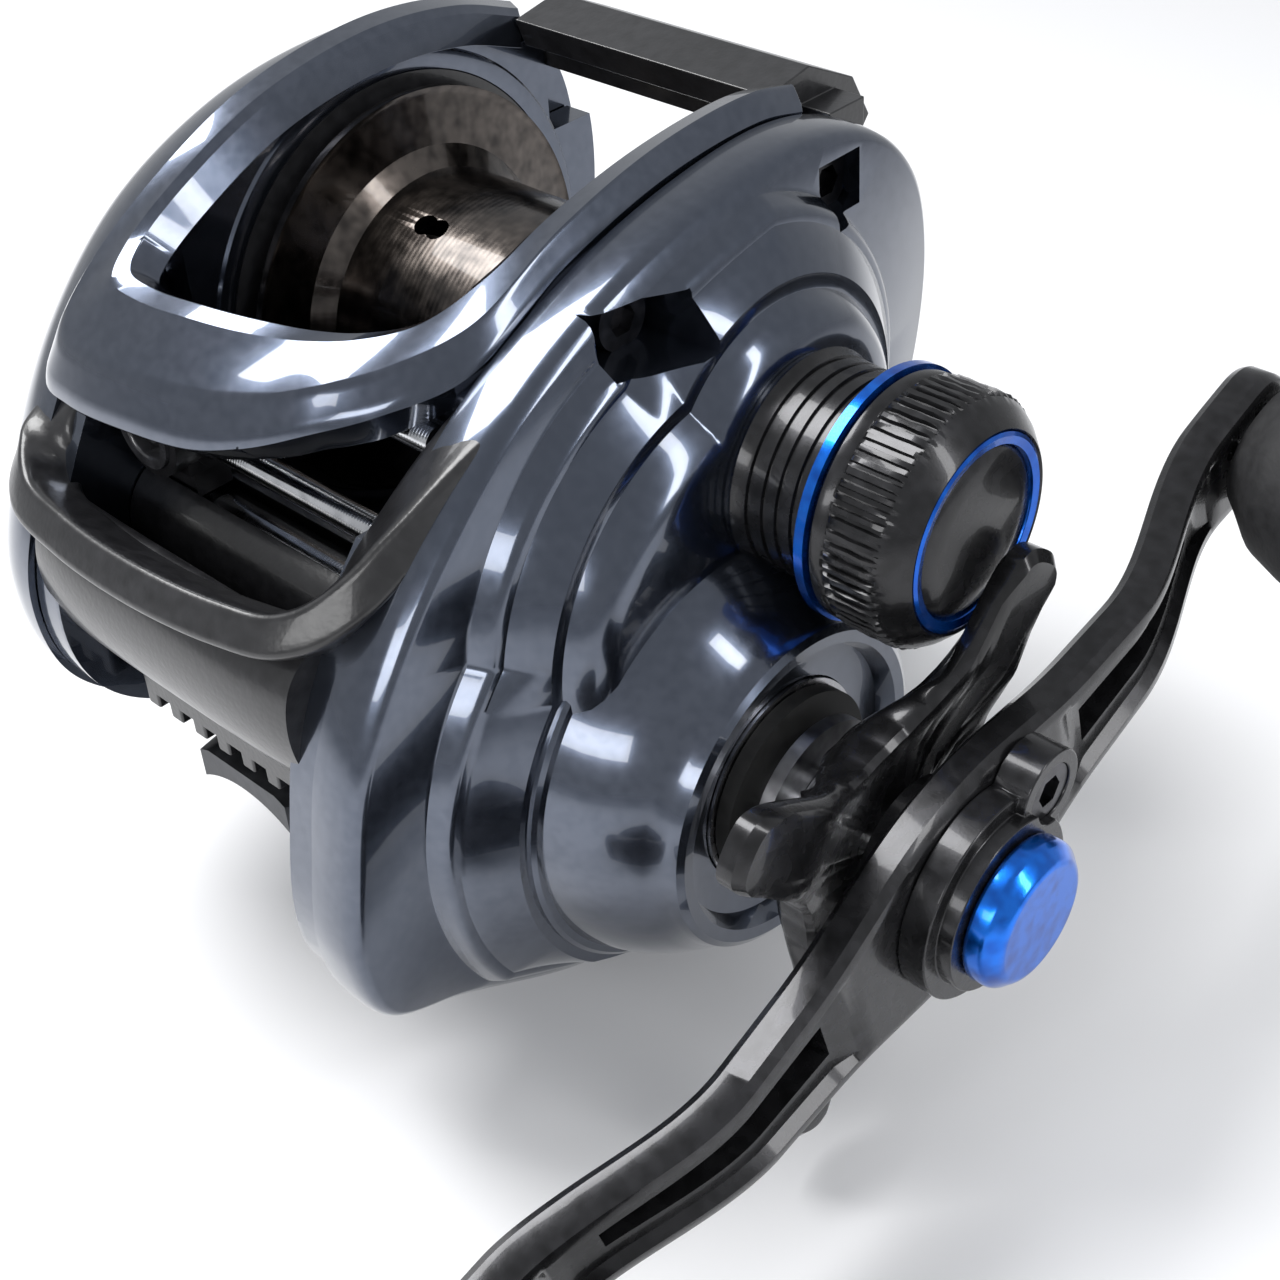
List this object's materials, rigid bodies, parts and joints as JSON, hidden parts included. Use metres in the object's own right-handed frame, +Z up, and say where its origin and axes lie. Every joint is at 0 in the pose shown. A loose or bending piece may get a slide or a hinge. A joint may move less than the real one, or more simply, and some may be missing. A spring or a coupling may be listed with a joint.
{
  "type": "baitcasting reel",
  "caption": "Low-profile baitcasting fishing reel with left-hand crank, star drag, cast control, level wind, thumb bar and a foot for a rod seat.",
  "frame": {"origin": "middle of the reel foot's underside, below the middle of the spool", "axes": "+X along the spool's axis towards the crank, +Y to the rear of the reel (thumb bar), +Z up from the rod"},
  "size_m": [0.0918, 0.0988, 0.0601],
  "materials": {
    "frame_paint": "gloss metallic blue-grey paint under clear coat",
    "black_plastic": "satin black moulded composite",
    "rail_steel": "polished stainless steel",
    "bearing_steel": "ground bearing steel",
    "bushing": "dark acetal",
    "gear_brass": "cut brass",
    "spool_bronze": "dark bronze anodised aluminium",
    "crank_black": "black anodised aluminium, satin",
    "blue_anodised": "bright blue anodised aluminium",
    "grip_rubber": "matt dark grey soft-touch",
    "drag_parts": "ground steel and carbon washers",
    "seal_rubber": "black nitrile",
    "screw_steel": "blackened steel",
    "guide_ceramic": "polished dark ceramic",
    "foot_metal": "satin dark paint"
  },
  "bodies": {
    "body": {"frame": "frame_paint", "lower_rail": "rail_steel", "upper_rail": "rail_steel", "worm_bushing_left": "bushing", "worm_bushing_right": "bushing", "worm_guard_tube": "black_plastic", "drive_shaft_bearing": "bearing_steel", "roller_bearing": "bearing_steel", "shaft_seal": "seal_rubber", "handle_side_plate": "frame_paint", "gearbox_dome": "frame_paint", "plate_screws": "screw_steel", "spool_bearing_right": "bearing_steel", "yoke_pins": "rail_steel", "front_guard": "black_plastic", "nose_grille": "black_plastic", "reel_foot": "foot_metal", "foot_screws": "screw_steel", "shaft_bearing_right": "bearing_steel", "tension_disc": "drag_parts"},
    "palm_side": {"palm_side_plate": "frame_paint", "brake_case": "black_plastic", "spool_bearing_left": "bearing_steel", "brake_drum": "screw_steel"},
    "brake_dial": {"brake_dial": "black_plastic"},
    "lock_lever": {"lock_lever": "black_plastic"},
    "spool": {"spool": "spool_bronze", "spool_shaft": "rail_steel", "spool_cross_pin": "rail_steel", "brake_rotor": "spool_bronze"},
    "clutch_yoke": {"clutch_yoke": "bushing"},
    "pinion": {"pinion": "gear_brass"},
    "thumb_bar": {"thumb_bar": "black_plastic"},
    "crank": {"drive_shaft": "rail_steel", "inner_sleeve": "rail_steel", "main_gear": "gear_brass", "level_wind_gear": "gear_brass", "drag_washers": "drag_parts", "drag_plate": "drag_parts", "crank_spacer": "crank_black", "spring_washers": "drag_parts", "crank_handle": "crank_black", "handle_nut": "crank_black", "nut_retainer": "crank_black", "retainer_screw": "screw_steel", "nut_cap": "blue_anodised", "grip_pin_rear": "rail_steel", "grip_pin_front": "rail_steel"},
    "grip_rear": {"grip_rear": "grip_rubber", "grip_cap_rear": "grip_rubber"},
    "grip_front": {"grip_front": "grip_rubber", "grip_cap_front": "grip_rubber"},
    "star": {"star_drag": "crank_black"},
    "cast_control": {"cast_control_cap": "crank_black", "cast_cap_ring": "blue_anodised"},
    "worm": {"worm_shaft": "rail_steel", "worm_gear": "gear_brass"},
    "line_guide": {"line_guide_carriage": "black_plastic", "line_guide_ring": "guide_ceramic", "pawl": "rail_steel"}
  },
  "joints": [
    {"name": "crank_spin", "type": "hinge", "parent": "body", "child": "crank", "pos_m": [0.03, -0.0084, 0.00414], "axis": [1, 0, 0], "continuous": true},
    {"name": "spool_spin", "type": "hinge", "parent": "body", "child": "spool", "pos_m": [0, 0, 0.0238], "axis": [1, 0, 0], "continuous": true},
    {"name": "worm_spin", "type": "hinge", "parent": "body", "child": "worm", "pos_m": [0, -0.0235, 0.01648], "axis": [1, 0, 0], "continuous": true},
    {"name": "thumb_press", "type": "slide", "parent": "body", "child": "thumb_bar", "axis": [0, 0, -1], "range_m": [0, 0.0045], "stiffness_N_per_m": 200},
    {"name": "yoke_shift", "type": "slide", "parent": "body", "child": "clutch_yoke", "axis": [1, 0, 0], "range_m": [0, 0.0015]},
    {"name": "pinion_spin", "type": "hinge", "parent": "clutch_yoke", "child": "pinion", "pos_m": [0, 0, 0.0238], "axis": [1, 0, 0], "continuous": true},
    {"name": "guide_travel", "type": "slide", "parent": "body", "child": "line_guide", "axis": [1, 0, 0], "range_m": [0, 0.018]},
    {"name": "star_turn", "type": "hinge", "parent": "crank", "child": "star", "pos_m": [0.03, -0.0084, 0.00414], "axis": [1, 0, 0], "range_deg": [-40, 200]},
    {"name": "grip_rear_spin", "type": "hinge", "parent": "crank", "child": "grip_rear", "pos_m": [0.045, 0.03197, 0.01572], "axis": [1, 0, 0], "continuous": true},
    {"name": "grip_front_spin", "type": "hinge", "parent": "crank", "child": "grip_front", "pos_m": [0.045, -0.04877, -0.00743], "axis": [1, 0, 0], "continuous": true},
    {"name": "cast_control_turn", "type": "hinge", "parent": "body", "child": "cast_control", "pos_m": [0, 0, 0.0238], "axis": [1, 0, 0], "range_deg": [-180, 180]},
    {"name": "palm_side_release", "type": "slide", "parent": "body", "child": "palm_side", "axis": [-1, 0, 0], "range_m": [0, 0.03]},
    {"name": "brake_dial_turn", "type": "hinge", "parent": "palm_side", "child": "brake_dial", "pos_m": [0, 0, 0.0238], "axis": [1, 0, 0], "range_deg": [0, 270]},
    {"name": "lock_lever_turn", "type": "hinge", "parent": "palm_side", "child": "lock_lever", "pos_m": [-0.0194, -0.006, -0.0022], "axis": [0, 0, 1], "range_deg": [0, 75]}
  ],
  "couplings": [
    {"joint": "spool_spin", "follows": "crank_spin", "ratio": -6.3077},
    {"joint": "pinion_spin", "follows": "crank_spin", "ratio": -6.3077},
    {"joint": "worm_spin", "follows": "crank_spin", "ratio": -1.8261},
    {"joint": "yoke_shift", "follows": "thumb_press", "ratio": 0.33333}
  ]
}
